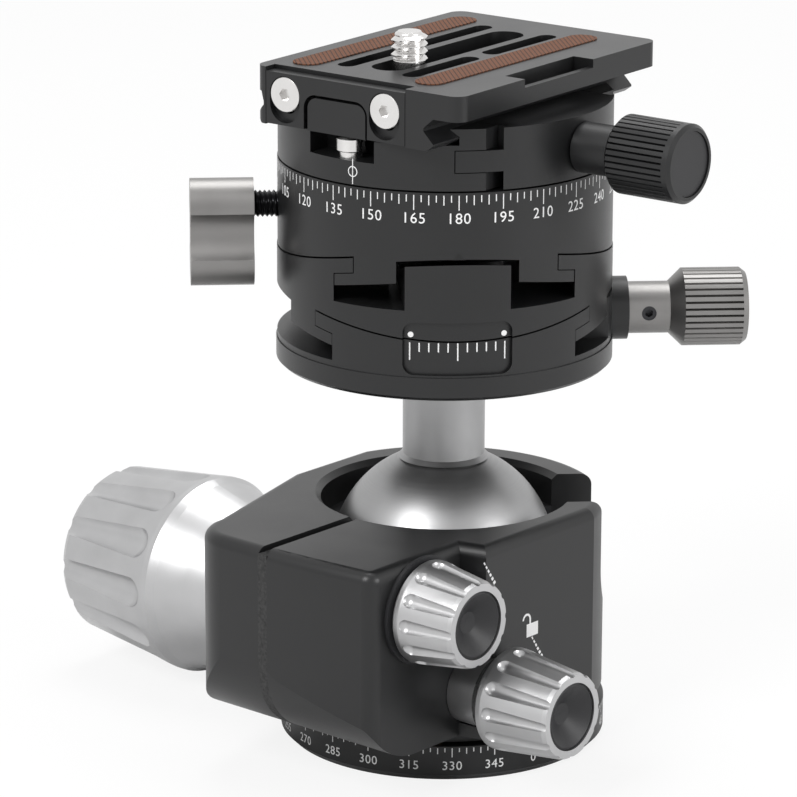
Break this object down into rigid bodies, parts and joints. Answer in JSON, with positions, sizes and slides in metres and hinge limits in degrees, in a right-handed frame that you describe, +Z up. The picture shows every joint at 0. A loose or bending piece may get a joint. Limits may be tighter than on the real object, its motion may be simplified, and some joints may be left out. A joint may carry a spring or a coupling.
{
  "type": "tripod ball head with geared tilt and panning clamp",
  "caption": "Camera support: a ball head clamped in a split housing carries a two-way worm-geared tilt head, a panning dial, a quick release clamp and its camera plate",
  "frame": {"origin": "centre of the tripod thread's mouth at the underside", "axes": "+Z up along the neck, -Y towards the geared head's scale, +X towards the socket's drop notch"},
  "size_m": [0.1214, 0.1095, 0.1298],
  "materials": {
    "black_anodised": "satin black anodised aluminium, finely bead-blasted",
    "satin_aluminium": "satin clear-anodised aluminium with fine turning marks",
    "titanium_grey": "titanium-grey anodised aluminium, satin",
    "stainless_steel": "bright machined stainless steel",
    "black_steel": "blackened steel",
    "brass": "machined brass",
    "black_rubber": "coarse textured black rubber",
    "black_plastic": "matte moulded black plastic",
    "brown_rubber": "brown cork-rubber with a fine cross hatch",
    "white_paint": "white filled engraving of the dial marks"
  },
  "bodies": {
    "base": {"pan_base_disc": "black_anodised", "tripod_thread_bush": "stainless_steel", "pan_keeper_plate": "black_anodised", "pan_keeper_screws": "stainless_steel", "pan_thrust_washer": "black_plastic"},
    "socket": {"socket_housing": "black_anodised", "slit_seal_strip": "black_rubber", "ball_seat_ring": "black_plastic", "friction_washer": "black_plastic", "ball_pressure_pad": "black_plastic", "pan_brake_pin": "brass"},
    "main_knob": {"main_lock_knob": "satin_aluminium", "main_knob_cap": "black_plastic", "main_lock_screw": "stainless_steel"},
    "friction_knob": {"friction_knob": "satin_aluminium", "friction_knob_cap": "black_plastic", "friction_screw": "stainless_steel"},
    "pan_lock_knob": {"pan_lock_knob": "satin_aluminium", "pan_lock_knob_cap": "black_plastic", "pan_lock_screw": "satin_aluminium", "pan_lock_ring": "black_rubber"},
    "ball_liner": {"ball_liner_cup": "black_plastic"},
    "ball": {"ball_with_neck": "satin_aluminium", "neck_screw": "stainless_steel"},
    "gear_base": {"gear_base_disc": "black_anodised", "lower_worm_collar": "black_anodised"},
    "lower_worm": {"lower_worm": "stainless_steel", "lower_gear_knob": "titanium_grey", "lower_knob_set_screw": "black_steel"},
    "middle": {"middle_stage": "black_anodised", "lower_rack": "brass", "upper_worm_collar": "black_anodised"},
    "upper_worm": {"upper_worm": "stainless_steel", "upper_gear_knob": "titanium_grey", "upper_knob_set_screw": "black_steel"},
    "dial": {"dial_stage": "black_anodised", "upper_rack": "brass", "pan_keeper_pins": "stainless_steel", "pan_brake_shoe": "brass"},
    "pan_lever": {"pan_lock_lever": "titanium_grey", "pan_lever_screw": "black_steel"},
    "clamp": {"clamp_body": "black_anodised", "jaw_guide_pins": "stainless_steel"},
    "safety_pin": {"safety_pin": "stainless_steel"},
    "jaw": {"clamp_jaw": "black_anodised"},
    "clamp_knob": {"clamp_knob": "black_anodised", "clamp_knob_cap": "black_plastic", "clamp_screw": "stainless_steel"},
    "plate": {"camera_plate": "black_anodised", "plate_grip_strips": "brown_rubber", "stop_lip_screws": "stainless_steel"},
    "stop_lip": {"stop_lip": "black_anodised"},
    "camera_screw": {"camera_screw": "stainless_steel", "camera_screw_washer": "black_plastic"}
  },
  "joints": [
    {"name": "socket_pan", "type": "hinge", "parent": "base", "child": "socket", "pos_m": [0, 0, 0], "axis": [0, 0, 1], "continuous": true},
    {"name": "main_knob_turn", "type": "hinge", "parent": "socket", "child": "main_knob", "pos_m": [-0.02687, 0.01556, 0.01965], "axis": [-0.7071, 0.7071, 0], "range_deg": [-180, 180]},
    {"name": "friction_knob_turn", "type": "hinge", "parent": "socket", "child": "friction_knob", "pos_m": [-0.00848, -0.03677, 0.0352], "axis": [0.7071, -0.7071, 0], "range_deg": [-180, 180]},
    {"name": "pan_lock_knob_turn", "type": "hinge", "parent": "socket", "child": "pan_lock_knob", "pos_m": [0.00424, -0.03111, 0.0177], "axis": [0.7071, -0.7071, 0], "range_deg": [-180, 180]},
    {"name": "ball_side_tilt", "type": "hinge", "parent": "socket", "child": "ball_liner", "pos_m": [0, 0, 0.0324], "axis": [1, 0, 0], "range_deg": [-28, 28]},
    {"name": "ball_drop_tilt", "type": "hinge", "parent": "ball_liner", "child": "ball", "pos_m": [0, 0, 0.0324], "axis": [0, 1, 0], "range_deg": [-28, 90]},
    {"name": "neck_spin", "type": "hinge", "parent": "ball", "child": "gear_base", "pos_m": [0, 0, 0.0694], "axis": [0, 0, 1], "continuous": true},
    {"name": "lower_worm_turn", "type": "hinge", "parent": "gear_base", "child": "lower_worm", "pos_m": [0, 0, 0.0777], "axis": [1, 0, 0], "range_deg": [-1880, 1880]},
    {"name": "lower_tilt", "type": "hinge", "parent": "gear_base", "child": "middle", "pos_m": [0, 0, 0.175], "axis": [0, 1, 0], "range_deg": [-10, 10]},
    {"name": "upper_worm_turn", "type": "hinge", "parent": "middle", "child": "upper_worm", "pos_m": [0, 0, 0.0883], "axis": [0, 1, 0], "range_deg": [-1880, 1880]},
    {"name": "upper_tilt", "type": "hinge", "parent": "middle", "child": "dial", "pos_m": [0, 0, 0.175], "axis": [1, 0, 0], "range_deg": [-10, 10]},
    {"name": "pan_lever_turn", "type": "hinge", "parent": "dial", "child": "pan_lever", "pos_m": [-0.034, 0, 0.0975], "axis": [-1, 0, 0], "range_deg": [-90, 0]},
    {"name": "clamp_pan", "type": "hinge", "parent": "dial", "child": "clamp", "pos_m": [0, 0, 0.106], "axis": [0, 0, 1], "continuous": true},
    {"name": "safety_pin_press", "type": "slide", "parent": "clamp", "child": "safety_pin", "axis": [0, 0, -1], "range_m": [0, 0.001], "stiffness_N_per_m": 200},
    {"name": "clamp_knob_turn", "type": "hinge", "parent": "jaw", "child": "clamp_knob", "pos_m": [0.03033, -0.02608, 0.1114], "axis": [0.7581, -0.6521, 0], "range_deg": [0, 630]},
    {"name": "jaw_open", "type": "slide", "parent": "clamp", "child": "jaw", "axis": [0.7581, -0.6521, 0], "range_m": [0, 0.00175]},
    {"name": "plate_slide", "type": "slide", "parent": "clamp", "child": "plate", "axis": [0.6521, 0.7581, 0], "range_m": [-0.012, 0.012]},
    {"name": "lip_lift", "type": "slide", "parent": "plate", "child": "stop_lip", "axis": [0, 0, 1], "range_m": [0, 0.0017]},
    {"name": "camera_screw_turn", "type": "hinge", "parent": "plate", "child": "camera_screw", "pos_m": [-0.00704, -0.00911, 0.12], "axis": [0, 0, 1], "continuous": true}
  ],
  "couplings": [
    {"joint": "lower_worm_turn", "follows": "lower_tilt", "ratio": 188},
    {"joint": "upper_worm_turn", "follows": "upper_tilt", "ratio": 188},
    {"joint": "clamp_knob_turn", "follows": "jaw_open", "rad_per_m": 6283.2}
  ]
}
